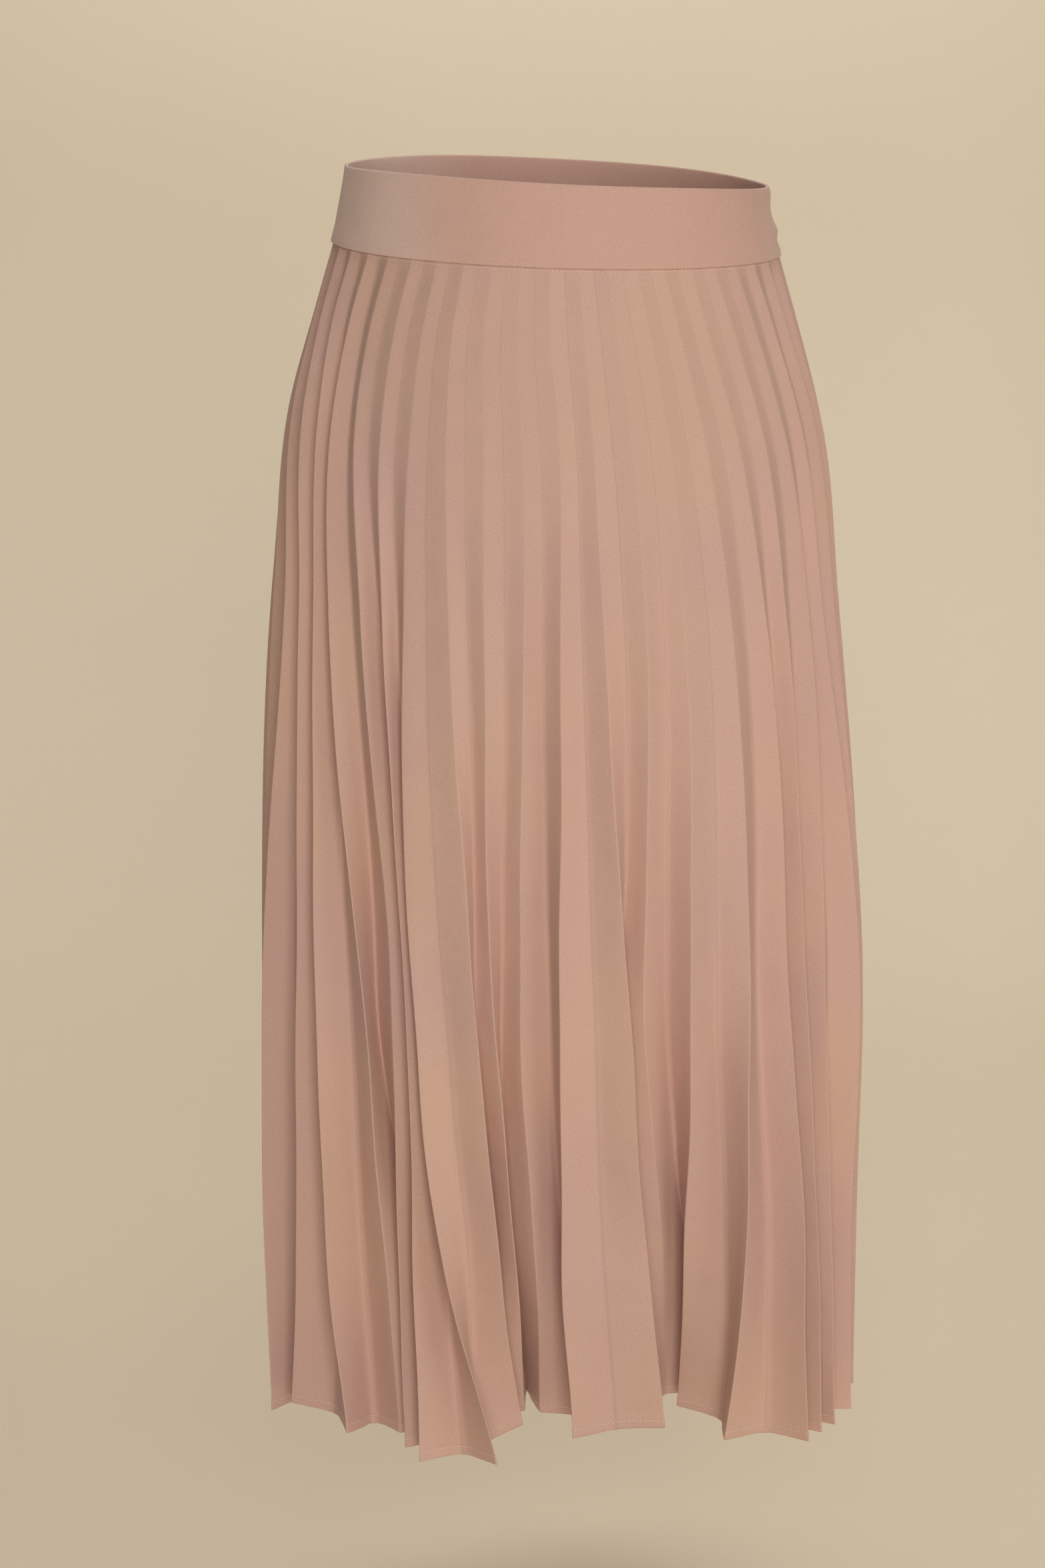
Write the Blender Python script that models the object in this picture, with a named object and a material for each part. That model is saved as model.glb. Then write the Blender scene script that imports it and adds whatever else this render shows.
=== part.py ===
"""Pleated midi skirt on a plain waistband, in the form it hangs in when worn.

Metres, +Z up. The origin is the middle of the waistband's height, on the axis of the waist.
The front of the skirt faces -Y. The cloth is a thin wall, with 44 sunray pleats that are narrow
at the waist seam and widen evenly to the hem.
"""
import math

import bmesh
import bpy
import numpy as np

# Driving sizes of the waistband
BAND_HEIGHT = 0.050
BAND_WALL = 0.0024
BAND_PUFF = 0.0010
BAND_COLUMNS = 26
BAND_ROWS = 7
WAIST_TOP = {"half_width": 0.1360, "half_depth": 0.0985}
WAIST_SEAM = {"half_width": 0.1455, "half_depth": 0.1040}
# The waist sits a little lower on the +X side and dips at the centre front
WAIST_SLOPE = 0.030
TOP_SLOPE = 0.050
FRONT_DIP = 0.0035
# The hem hangs lower at the sides, and most on the -X side
SIDE_DROP = 0.006
LEFT_DROP = 0.010

# Driving sizes of the pleated cloth
CLOTH_WALL = 0.0012
CLOTH_LENGTH = 0.765
SEAM_GAP = 0.0003
FACE_AT_SEAM = 0.0094
FACE_GROWTH = 0.0305
SEAM_EASE = 0.0004
EASE_LENGTH = 0.012
PLEAT_COUNT = 44
FIRST_FRONT_PLEAT = -10
LAST_FRONT_PLEAT = 10
# Least depth of a fold and least opening of a crease, as shares, and how far a crease may lean
FLATTEST_FOLD = 0.07
SHARPEST_FOLD = 0.26
STEEPEST_LEAN = 0.7
# The side seams run down the middle of a pleat face, where they don't show
SIDE_SEAM_PLACE = 0.5


def ring(down, half_width, half_depth, centre_y, squareness, rows):
    """Sizes of one ring round the wearer's shape."""
    return {
        "down": down,
        "half_width": half_width,
        "half_depth": half_depth,
        "centre_y": centre_y,
        "squareness": squareness,
        "rows": rows,
    }


# Rings that the pleat ridges lie on, by the distance down the cloth from the waist seam.
# centre_y is how far the ring's middle is moved, and a squareness of 2 is an ellipse.
# rows is how many rows of the wall lie between a ring and the one above, most where the folds turn.
RINGS = {
    "seam": ring(0.000, 0.1450, 0.1035, 0.000, 2.0, rows=0),
    "high_hip": ring(0.045, 0.1585, 0.1120, -0.002, 2.0, rows=1),
    "hip": ring(0.110, 0.1760, 0.1280, -0.006, 2.1, rows=2),
    "thigh": ring(0.230, 0.1900, 0.1450, -0.014, 2.2, rows=3),
    "knee": ring(0.480, 0.2050, 0.1560, -0.024, 2.2, rows=6),
    "calf": ring(0.640, 0.2070, 0.1600, -0.030, 2.2, rows=8),
    "hem": ring(0.765, 0.2080, 0.1620, -0.034, 2.2, rows=9),
}
LEVELS = tuple(RINGS)

# Above the hip the pleats are even. shift is how far the middle pleat lies from the centre front,
# and spread widens the pleats at the front and back, where the cloth is drawn over the hips.
EVEN_LEVELS = {
    "seam": {"shift": -0.005, "spread": 0.0},
    "high_hip": {"shift": -0.004, "spread": 0.08},
}

# Ridges of the front pleats, in millimetres, one row for each pleat from the -X side to the +X side.
# hip and thigh are the way along the ring from the centre front. The others are places in plan.
FOLD_COLUMNS = ("pleat", "hip", "thigh", "knee_x", "knee_y", "calf_x", "calf_y", "hem_x", "hem_y")
FRONT_FOLDS = (
    (-10, -212, -206, -196, -105, -198, -125, -194, -149),
    (-9, -190, -186, -171, -130, -174, -147, -178, -162),
    (-8, -170, -170, -157, -148, -152, -173, -139, -200),
    (-7, -156, -156, -125, -164, -113, -180, -104, -199),
    (-6, -135, -129, -106, -163, -104, -188, -99, -212),
    (-5, -115, -113, -97, -177, -93, -198, -90, -227),
    (-4, -94, -99, -91, -184, -72, -210, -38, -235),
    (-3, -70, -68, -51, -190, -37, -202, -22, -193),
    (-2, -46, -46, -40, -184, -26, -195, -21, -174),
    (-1, -22, -21, -23, -179, -14, -188, -9, -173),
    (0, 1, 2, 2, -191, 4, -198, 11, -205),
    (1, 22, 29, 47, -191, 60, -191, 73, -191),
    (2, 46, 56, 57, -179, 70, -164, 77, -146),
    (3, 70, 81, 86, -180, 86, -170, 83, -160),
    (4, 94, 113, 124, -176, 124, -191, 113, -207),
    (5, 117, 140, 152, -160, 164, -184, 167, -208),
    (6, 138, 157, 164, -148, 174, -174, 177, -198),
    (7, 158, 181, 178, -131, 184, -160, 188, -188),
    (8, 178, 200, 204, -106, 200, -138, 200, -170),
    (9, 200, 224, 209, -78, 208, -102, 207, -126),
    (10, 222, 248, 211, -50, 211, -70, 210, -90),
)

# Extra drop of the hem at some ridges, in millimetres, where the cloth hangs on the bias
# The ridges count on round the back, so 33 is the one behind the first front ridge
HEM_DROPS = {-10: 15, -8: 6, -7: 6, -6: 8, -5: 9, -4: 14, -3: 2, 4: 1, 5: 2, 30: 3, 31: 6, 32: 9, 33: 12}

# Ridges of the hidden back: even pleats in three broad flutes, as at the front
BACK_FLUTES = 3.0
BACK_UNEVEN_WAVES = 5.0
FLUTE_DEPTH = {"hip": 0.0, "thigh": 0.002, "knee": 0.008, "calf": 0.012, "hem": 0.016}
BACK_SHIFT = {"hip": 0.04, "thigh": 0.08, "knee": 0.14, "calf": 0.17, "hem": 0.18}

COLOURS = {
    "cloth": {"base": (0.56, 0.34, 0.255, 1.0), "roughness": 0.75},
    "band": {"base": (0.54, 0.325, 0.25, 1.0), "roughness": 0.7},
}


def ring_point(ring_sizes, angle):
    """Point of a ring in plan, with the angle counted from the centre front towards +X."""
    power = 2.0 / ring_sizes["squareness"]
    across = math.copysign(abs(math.sin(angle)) ** power, math.sin(angle))
    forward = math.copysign(abs(math.cos(angle)) ** power, math.cos(angle))
    return (ring_sizes["half_width"] * across, ring_sizes["centre_y"] - ring_sizes["half_depth"] * forward)


def ring_walk(ring_sizes, steps=1440):
    """The ring as a fine outline from the centre back round to the centre back, with its lengths."""
    angles = np.linspace(-math.pi, math.pi, steps + 1)
    points = np.array([ring_point(ring_sizes, angle) for angle in angles])
    lengths = np.concatenate([[0.0], np.cumsum(np.linalg.norm(np.diff(points, axis=0), axis=1))])
    middle = lengths[steps // 2]
    return points, lengths - middle


def along_ring(ring_sizes, distances):
    """Points of a ring at these distances from the centre front, positive towards +X."""
    points, lengths = ring_walk(ring_sizes)
    whole = lengths[-1] - lengths[0]
    wrapped = (np.asarray(distances) - lengths[0]) % whole + lengths[0]
    across = np.interp(wrapped, lengths, points[:, 0])
    forward = np.interp(wrapped, lengths, points[:, 1])
    return np.stack([across, forward], axis=1)


def ring_length(ring_sizes):
    """Length all round a ring."""
    lengths = ring_walk(ring_sizes)[1]
    return lengths[-1] - lengths[0]


def place_on_ring(ring_sizes, point):
    """Distance from the centre front to the ring's nearest point."""
    points, lengths = ring_walk(ring_sizes)
    nearest = np.argmin(np.linalg.norm(points - np.asarray(point), axis=1))
    return lengths[nearest]


def front_ridges(level):
    """Plan points of the front ridges at a level of the fold table."""
    rows = [dict(zip(FOLD_COLUMNS, row)) for row in FRONT_FOLDS]
    if level in FOLD_COLUMNS:
        return along_ring(RINGS[level], [row[level] / 1000 for row in rows])
    points = []
    for row in rows:
        points.append(np.array([row[level + "_x"], row[level + "_y"]]) / 1000)
    return np.array(points)


def back_ridges(level, first_point, last_point):
    """Plan points of the back ridges, even between the two outermost front ridges."""
    ring_sizes = RINGS[level]
    count = PLEAT_COUNT - len(FRONT_FOLDS)
    start = place_on_ring(ring_sizes, first_point)
    end = place_on_ring(ring_sizes, last_point) + ring_length(ring_sizes)
    share = np.arange(1, count + 1) / (count + 1)
    uneven = BACK_SHIFT[level] * np.sin(2 * math.pi * share * BACK_UNEVEN_WAVES) / (count + 1)
    places = along_ring(ring_sizes, start + (end - start) * (share + uneven))
    centre = np.array([0.0, ring_sizes["centre_y"]])
    outward = places - centre
    outward /= np.linalg.norm(outward, axis=1)[:, None]
    flute = FLUTE_DEPTH[level] * np.sin(2 * math.pi * BACK_FLUTES * share) * np.sin(math.pi * share)
    return places + outward * flute[:, None]


def ridges_at_level(level):
    """All ridges at a level, from the front pleat on the -X side all the way round."""
    ring_sizes = RINGS[level]
    if level in EVEN_LEVELS:
        pleats = np.arange(FIRST_FRONT_PLEAT, FIRST_FRONT_PLEAT + PLEAT_COUNT)
        turns = pleats / PLEAT_COUNT + EVEN_LEVELS[level]["shift"] / ring_length(ring_sizes)
        turns = turns + EVEN_LEVELS[level]["spread"] * np.sin(4 * math.pi * turns) / (4 * math.pi)
        return along_ring(ring_sizes, turns * ring_length(ring_sizes))
    front = front_ridges(level)
    back = back_ridges(level, front[-1], front[0])
    return np.concatenate([front, back])


def smooth_through(knots, values, places):
    """Smooth curve through the values at the knots, with the slopes of its neighbours."""
    knots = np.asarray(knots, dtype=float)
    slopes = np.gradient(values, knots, axis=0)
    result = []
    for place in places:
        index = int(np.clip(np.searchsorted(knots, place) - 1, 0, len(knots) - 2))
        width = knots[index + 1] - knots[index]
        t = (place - knots[index]) / width
        result.append(
            (2 * t**3 - 3 * t**2 + 1) * values[index]
            + (t**3 - 2 * t**2 + t) * width * slopes[index]
            + (3 * t**2 - 2 * t**3) * values[index + 1]
            + (t**3 - t**2) * width * slopes[index + 1]
        )
    return np.array(result)


def face_width(down):
    """Width of one pleat face, which grows evenly down the cloth and is eased in at the seam."""
    eased = SEAM_EASE * max(0.0, 1 - down / EASE_LENGTH)
    return FACE_AT_SEAM + FACE_GROWTH * down - eased


def valleys_between(ridges, width):
    """Valley of each pleat, one face width from both of its ridges and inside them."""
    following = np.roll(ridges, -1, axis=0)
    chord = following - ridges
    span = np.linalg.norm(chord, axis=1)
    inward = np.stack([-chord[:, 1], chord[:, 0]], axis=1) / span[:, None]
    depth = np.sqrt(np.maximum(width**2 - (span / 2) ** 2, (FLATTEST_FOLD * width) ** 2))
    return (ridges + following) / 2 + inward * depth[:, None]


def cloth_rows():
    """Distances down the cloth of the wall's rows."""
    downs = [0.0]
    for level in LEVELS[1:]:
        last = RINGS[level]
        downs.extend(np.linspace(downs[-1], last["down"], last["rows"] + 1)[1:])
    return np.array(downs)


def crease_plan(down_steps):
    """Plan points of every crease, ridge and valley in turn, at each distance down the cloth."""
    knots = [RINGS[level]["down"] for level in LEVELS]
    ridge_levels = np.array([ridges_at_level(level) for level in LEVELS])
    ridges = smooth_through(knots, ridge_levels, down_steps)
    plan = np.zeros((len(down_steps), 2 * PLEAT_COUNT, 2))
    for row, down in enumerate(down_steps):
        plan[row, 0::2] = ridges[row]
        plan[row, 1::2] = valleys_between(ridges[row], face_width(down))
    return plan


def waist_height(point, slope=WAIST_SLOPE):
    """How far the waist rises or falls at a plan point, from its slope and its dip in front."""
    front = max(0.0, -point[1] / WAIST_SEAM["half_depth"])
    return -slope * point[0] - FRONT_DIP * front


def hem_drops(plan):
    """Drop of every crease at the hem: towards the sides, and where the cloth hangs on the bias."""
    sides = plan[..., 0] / RINGS["hem"]["half_width"]
    pleats = range(FIRST_FRONT_PLEAT, FIRST_FRONT_PLEAT + PLEAT_COUNT)
    ridges = np.array([HEM_DROPS.get(pleat, 0) for pleat in pleats]) / 1000
    bias = np.zeros(2 * PLEAT_COUNT)
    bias[0::2] = ridges
    bias[1::2] = (ridges + np.roll(ridges, -1)) / 2
    return SIDE_DROP * np.abs(sides) + LEFT_DROP * np.maximum(-sides, 0.0) + bias


def crease_heights(plan, down_steps):
    """Height of every crease point: each crease keeps its own length down the cloth."""
    seam = -BAND_HEIGHT / 2 - SEAM_GAP
    heights = np.zeros(plan.shape[:2])
    heights[0] = [seam + waist_height(point) for point in plan[0]]
    for row in range(1, len(down_steps)):
        step = down_steps[row] - down_steps[row - 1]
        moved = np.linalg.norm(plan[row] - plan[row - 1], axis=1)
        heights[row] = heights[row - 1] - np.sqrt(np.maximum(step**2 - moved**2, (STEEPEST_LEAN * step) ** 2))
    share = np.asarray(down_steps)[:, None] / CLOTH_LENGTH
    return heights - hem_drops(plan) * share**2


def mitres(points):
    """Sideways vector at each point of an open outline, outward, for half of a unit wall."""
    steps = np.diff(points, axis=0)
    steps = steps / np.linalg.norm(steps, axis=1)[:, None]
    normals = np.stack([steps[:, 1], -steps[:, 0]], axis=1)
    before = np.concatenate([normals[:1], normals])
    after = np.concatenate([normals, normals[-1:]])
    middle = before + after
    length = np.maximum(np.linalg.norm(middle, axis=1), 1e-6)
    middle = middle / length[:, None]
    lean = np.maximum(np.sum(middle * before, axis=1), SHARPEST_FOLD)
    return 0.5 * middle / lean[:, None]


def panel_columns(plan, heights, first, last):
    """Columns of one panel, from a cut across one face to a cut across another."""
    count = plan.shape[1]
    order = [index % count for index in range(first, last + 1)]

    def cut(index, towards):
        start = np.concatenate([plan[:, index % count], heights[:, index % count, None]], axis=1)
        end = np.concatenate([plan[:, towards % count], heights[:, towards % count, None]], axis=1)
        middle = start + (end - start) * SIDE_SEAM_PLACE
        back = start - end
        back /= np.linalg.norm(back, axis=1)[:, None]
        return middle + back * SEAM_GAP / 2

    inner = np.concatenate([plan[:, order], heights[:, order][:, :, None]], axis=2)
    left = cut(first, first - 1)[:, None]
    right = cut(last, last + 1)[:, None]
    return np.concatenate([left, inner, right], axis=1)


def split_quad(mesh, corners, from_first):
    """Two triangles over four corners, split from the first corner or from the last."""
    first, second, third, fourth = corners
    if from_first:
        mesh.faces.new((first, second, third))
        mesh.faces.new((first, third, fourth))
    else:
        mesh.faces.new((first, second, fourth))
        mesh.faces.new((second, third, fourth))


def wall_mesh(name, columns, wall, first_ridge=0):
    """Closed wall through rows of columns, each row given half the wall to both sides.

    Every face between two creases is split from its ridge above to its valley below, so that the
    two sides of a sharp fold turn together and stay clear of each other.
    """
    rows, width = columns.shape[:2]
    mesh = bmesh.new()
    skins = []
    for side in (1, -1):
        skin = []
        for row in range(rows):
            sideways = mitres(columns[row, :, :2]) * wall * side
            skin.append([
                mesh.verts.new((point[0] + shift[0], point[1] + shift[1], point[2]))
                for point, shift in zip(columns[row], sideways)
            ])
        skins.append(skin)
    outer, inner = skins
    for row in range(rows - 1):
        for col in range(width - 1):
            on_ridge = (col - first_ridge) % 2 == 0
            for skin in skins:
                corners = (skin[row][col], skin[row + 1][col], skin[row + 1][col + 1], skin[row][col + 1])
                split_quad(mesh, corners, on_ridge)
    for col in range(width - 1):
        mesh.faces.new((outer[0][col], outer[0][col + 1], inner[0][col + 1], inner[0][col]))
        mesh.faces.new((outer[-1][col], inner[-1][col], inner[-1][col + 1], outer[-1][col + 1]))
    for row in range(rows - 1):
        mesh.faces.new((outer[row][0], inner[row][0], inner[row + 1][0], outer[row + 1][0]))
        mesh.faces.new((outer[row][-1], outer[row + 1][-1], inner[row + 1][-1], inner[row][-1]))
    bmesh.ops.triangulate(mesh, faces=[face for face in mesh.faces if len(face.verts) > 3])
    bmesh.ops.recalc_face_normals(mesh, faces=mesh.faces[:])
    data = bpy.data.meshes.new(name)
    mesh.to_mesh(data)
    mesh.free()
    piece = bpy.data.objects.new(name, data)
    bpy.context.collection.objects.link(piece)
    return piece


def cloth_material(name, settings):
    """Plain Principled material in the cloth's colour."""
    material = bpy.data.materials.new(name)
    material.use_nodes = True
    shader = material.node_tree.nodes["Principled BSDF"]
    shader.inputs["Base Color"].default_value = settings["base"]
    shader.inputs["Roughness"].default_value = settings["roughness"]
    shader.inputs["Metallic"].default_value = 0.0
    return material


def between(first, last, share):
    """Value at a share of the way from one to the other."""
    return first + share * (last - first)


def band_columns(start_angle, end_angle):
    """Rows of one half of the waistband, top to bottom, a little full in the middle."""
    shares = np.linspace(0.0, 1.0, BAND_ROWS)
    rows = []
    for share in shares:
        sizes = {
            "half_width": between(WAIST_TOP["half_width"], WAIST_SEAM["half_width"], share),
            "half_depth": between(WAIST_TOP["half_depth"], WAIST_SEAM["half_depth"], share),
            "centre_y": 0.0,
            "squareness": 2.0,
        }
        puff = BAND_PUFF * math.sin(math.pi * share)
        sizes["half_width"] += puff
        sizes["half_depth"] += puff
        gap_angle = SEAM_GAP / 2 / sizes["half_depth"]
        angles = np.linspace(start_angle + gap_angle, end_angle - gap_angle, BAND_COLUMNS)
        height = BAND_HEIGHT * (0.5 - share)
        slope = between(TOP_SLOPE, WAIST_SLOPE, share)
        row = []
        for angle in angles:
            point = ring_point(sizes, angle)
            row.append((point[0], point[1], height + waist_height(point, slope)))
        rows.append(row)
    return np.array(rows)


def build_waistband(material):
    """Front and back halves of the waistband, joined at the side seams."""
    quarter = math.pi / 2
    for name, start, end in (
        ("waistband_front", -quarter, quarter),
        ("waistband_back", quarter, 3 * quarter),
    ):
        piece = wall_mesh(name, band_columns(start, end), BAND_WALL)
        piece.data.materials.append(material)


def build_skirt(material):
    """Front and back pleated panels."""
    down_steps = cloth_rows()
    plan = crease_plan(down_steps)
    heights = crease_heights(plan, down_steps)
    front_last = 2 * (LAST_FRONT_PLEAT - FIRST_FRONT_PLEAT)
    whole = 2 * PLEAT_COUNT
    for name, first, last in (
        ("skirt_front", 0, front_last),
        ("skirt_back", front_last + 1, whole - 1),
    ):
        columns = panel_columns(plan, heights, first, last)
        piece = wall_mesh(name, columns, CLOTH_WALL, first_ridge=1 + first % 2)
        piece.data.materials.append(material)


def main():
    for old in list(bpy.data.objects):
        bpy.data.objects.remove(old, do_unlink=True)
    build_waistband(cloth_material("waistband_cloth", COLOURS["band"]))
    build_skirt(cloth_material("pleated_cloth", COLOURS["cloth"]))


main()
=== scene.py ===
# %% [markdown]
# # A pleated skirt
# This lesson dresses the skirt's solids with real cloth: a folded waistband, two panels of sunray
# pleats, a turned hem and the thread that holds them. The solids say where everything is, so each
# piece is shaped over them in metres, with +Z up and the front of the skirt facing -Y.

# %% Load the frame
import math

import bpy
import numpy as np
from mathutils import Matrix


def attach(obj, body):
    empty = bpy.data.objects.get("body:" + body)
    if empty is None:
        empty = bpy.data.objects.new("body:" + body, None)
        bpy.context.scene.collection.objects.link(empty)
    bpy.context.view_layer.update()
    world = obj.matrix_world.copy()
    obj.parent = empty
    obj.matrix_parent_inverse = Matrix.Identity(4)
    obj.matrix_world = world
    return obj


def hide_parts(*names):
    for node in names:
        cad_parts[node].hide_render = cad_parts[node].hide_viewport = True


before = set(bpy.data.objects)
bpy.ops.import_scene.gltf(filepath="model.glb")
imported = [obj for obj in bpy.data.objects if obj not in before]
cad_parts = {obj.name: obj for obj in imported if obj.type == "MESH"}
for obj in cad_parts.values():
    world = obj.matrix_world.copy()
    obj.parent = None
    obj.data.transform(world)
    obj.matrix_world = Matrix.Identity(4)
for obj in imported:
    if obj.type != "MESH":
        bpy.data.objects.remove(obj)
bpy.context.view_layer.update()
bpy.ops.object.select_all(action="DESELECT")
print("nodes", sorted(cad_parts))

# %% [markdown]
# The picture was taken from a little above waist height, from about 1.7 metres away, looking down
# by 17 degrees. A camera with its vertical sensor size set keeps the same view at any picture size,
# so the lens is worked out from the picture's height.

# %% Camera
PHOTO_HEIGHT = 2352
FOCAL_PIXELS = 3900
SENSOR_HEIGHT = 36.0
CAMERA_PLACE = (-0.022, -1.728, 0.136)
CAMERA_TILT = math.radians(17.0)

bpy.ops.object.camera_add(location=CAMERA_PLACE, rotation=(math.pi / 2 - CAMERA_TILT, 0, 0))
camera = bpy.context.object
camera.name = "studio_camera"
camera.data.sensor_fit = "VERTICAL"
camera.data.sensor_height = SENSOR_HEIGHT
camera.data.lens = FOCAL_PIXELS / PHOTO_HEIGHT * SENSOR_HEIGHT
camera.data.dof.use_dof = False
bpy.context.scene.camera = camera
print("lens", round(camera.data.lens, 1), "mm")

# %% [markdown]
# A worn skirt's waist is about a metre above the floor. The floor and the wall behind it are one sheet
# of paper that curves up, as in a studio, so no line shows where they meet. It is a plane that is
# cut into strips and bent by moving its rows.

# %% Studio paper
FLOOR_HEIGHT = -1.05
PAPER_SIZE = 9.0
PAPER_CURVE_START = 1.1
PAPER_CURVE_RADIUS = 0.9
PAPER_COLOUR = (0.86, 0.74, 0.56, 1.0)
PAPER_ROUGHNESS = 0.95
CLOUD_SCALE = 1.3
CLOUD_TONE = 0.93
PAPER_STRIPS = 90


def paper_material():
    """Matt pale paper with the faintest cloudiness."""
    material = bpy.data.materials.new("studio_paper")
    material.use_nodes = True
    nodes = material.node_tree.nodes
    links = material.node_tree.links
    shader = nodes["Principled BSDF"]
    shader.inputs["Roughness"].default_value = PAPER_ROUGHNESS
    place = nodes.new("ShaderNodeTexCoord")
    cloud = nodes.new("ShaderNodeTexNoise")
    cloud.inputs["Scale"].default_value = CLOUD_SCALE
    tone = nodes.new("ShaderNodeMix")
    tone.data_type = "RGBA"
    tone.inputs["A"].default_value = PAPER_COLOUR
    tone.inputs["B"].default_value = tuple(value * CLOUD_TONE for value in PAPER_COLOUR[:3]) + (1.0,)
    links.new(place.outputs["Object"], cloud.inputs["Vector"])
    links.new(cloud.outputs["Fac"], tone.inputs["Factor"])
    links.new(tone.outputs["Result"], shader.inputs["Base Color"])
    return material


def bend_paper(points):
    """Rows past the start of the curve turn up through a quarter circle and then rise."""
    bent = points.copy()
    past = points[:, 1] - PAPER_CURVE_START
    quarter = PAPER_CURVE_RADIUS * math.pi / 2
    turn = np.clip(past / PAPER_CURVE_RADIUS, 0, math.pi / 2)
    rise = np.maximum(past - quarter, 0)
    on_curve = past > 0
    bent[on_curve, 1] = PAPER_CURVE_START + PAPER_CURVE_RADIUS * np.sin(turn[on_curve])
    bent[on_curve, 2] += (PAPER_CURVE_RADIUS * (1 - np.cos(turn)) + rise)[on_curve]
    return bent


def read_points(mesh):
    """A mesh's points as rows of x, y and z."""
    flat = np.zeros(len(mesh.vertices) * 3)
    mesh.vertices.foreach_get("co", flat)
    return flat.reshape(-1, 3)


def write_points(mesh, points):
    """Puts a mesh's points where the rows say."""
    mesh.vertices.foreach_set("co", np.asarray(points, dtype=float).ravel())
    mesh.update()


bpy.ops.mesh.primitive_grid_add(x_subdivisions=4, y_subdivisions=PAPER_STRIPS, size=PAPER_SIZE)
paper = bpy.context.object
paper.name = "studio_paper"
paper_points = read_points(paper.data)
paper_points[:, 2] = FLOOR_HEIGHT
write_points(paper.data, bend_paper(paper_points))
bpy.ops.object.shade_smooth()
paper.data.materials.append(paper_material())
print("paper", len(paper_points), "points")

# %% [markdown]
# Cloth looks soft under large lights. One broad light stands beside the camera, so that only the faces
# that turn away grow dark. A weaker one on the right lifts that side, one from above lights the
# waistband, and one behind keeps the back from going black. The last light is for the paper alone.

# %% Lights
LIGHT_TARGET = np.array([0.0, 0.0, -0.40])
LIGHTS = {
    "key": {"place": (0.25, -2.85, 0.50), "size": 1.5, "power": 47.0, "colour": (1.0, 0.985, 0.95)},
    "side": {"place": (2.3, -1.6, 0.5), "size": 1.4, "power": 12.0, "colour": (1.0, 0.98, 0.96)},
    "top": {"place": (0.3, -0.9, 2.4), "size": 1.6, "power": 4.5, "colour": (1.0, 0.98, 0.96)},
    "behind": {"place": (0.4, 2.2, 1.6), "size": 1.6, "power": 11.0, "colour": (1.0, 0.98, 0.95)},
}
PAPER_LIGHT = {"place": (-0.05, 0.8, 1.9), "target": (-0.1, 2.0, 0.35), "size": 1.4, "power": 29.0}
PAPER_LIGHT_COLOUR = (0.94, 0.97, 1.0)
SKY_COLOUR = (0.90, 0.86, 0.80, 1.0)
SKY_STRENGTH = 0.16


def turn_towards(place, target):
    """Rotation that points a light's -Z axis from its place at the target."""
    way = np.asarray(target) - np.asarray(place)
    sideways = math.atan2(way[0], -way[1])
    down = math.atan2(math.hypot(way[0], way[1]), -way[2])
    return (down, 0.0, math.pi + sideways)


for name, light in LIGHTS.items():
    bpy.ops.object.light_add(type="AREA", location=light["place"])
    lamp = bpy.context.object
    lamp.name = "light_" + name
    lamp.rotation_euler = turn_towards(light["place"], LIGHT_TARGET)
    lamp.data.size = light["size"]
    lamp.data.energy = light["power"]
    lamp.data.color = light["colour"]

bpy.ops.object.light_add(type="AREA", location=PAPER_LIGHT["place"])
lamp = bpy.context.object
lamp.name = "light_paper"
lamp.rotation_euler = turn_towards(PAPER_LIGHT["place"], PAPER_LIGHT["target"])
lamp.data.size = PAPER_LIGHT["size"]
lamp.data.energy = PAPER_LIGHT["power"]
lamp.data.color = PAPER_LIGHT_COLOUR

world = bpy.data.worlds.new("studio_air")
world.use_nodes = True
world.node_tree.nodes["Background"].inputs["Color"].default_value = SKY_COLOUR
world.node_tree.nodes["Background"].inputs["Strength"].default_value = SKY_STRENGTH
bpy.context.scene.world = world
bpy.context.scene.view_settings.view_transform = "Standard"
print("lights", list(LIGHTS))

# %% [markdown]
# Sunray pleats are pressed into a cut that is part of a ring. Every pleat face is a thin wedge: 9 mm
# wide at the waist seam and 33 mm at the hem. So the whole skirt follows from where its ridges lie.
# The sizes are the same as the solids'. The fold table is in millimetres, one row for each front pleat
# from -X to +X, and the relief table has a share for each level, from the seam down to the hem.

# %% Sizes of the skirt
MM = 0.001
BAND_HEIGHT = 0.050
WAIST_TOP = {"half_width": 0.1360, "half_depth": 0.0985}
WAIST_SEAM = {"half_width": 0.1455, "half_depth": 0.1040}
WAIST_SLOPE = 0.030
TOP_SLOPE = 0.050
FRONT_DIP = 0.0035
SIDE_DROP = 0.006
LEFT_DROP = 0.010
CLOTH_LENGTH = 0.765
SEAM_GAP = 0.0003
FACE_AT_SEAM = 0.0094
FACE_GROWTH = 0.0305
SEAM_EASE = 0.0004
EASE_LENGTH = 0.012
PLEAT_COUNT = 44
FIRST_FRONT_PLEAT = -10
LAST_FRONT_PLEAT = 10
FLATTEST_FOLD = 0.07
STEEPEST_LEAN = 0.7


def ring(down, half_width, half_depth, centre_y, squareness):
    """Sizes of one ring round the wearer's shape."""
    return {
        "down": down,
        "half_width": half_width,
        "half_depth": half_depth,
        "centre_y": centre_y,
        "squareness": squareness,
    }


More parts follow.
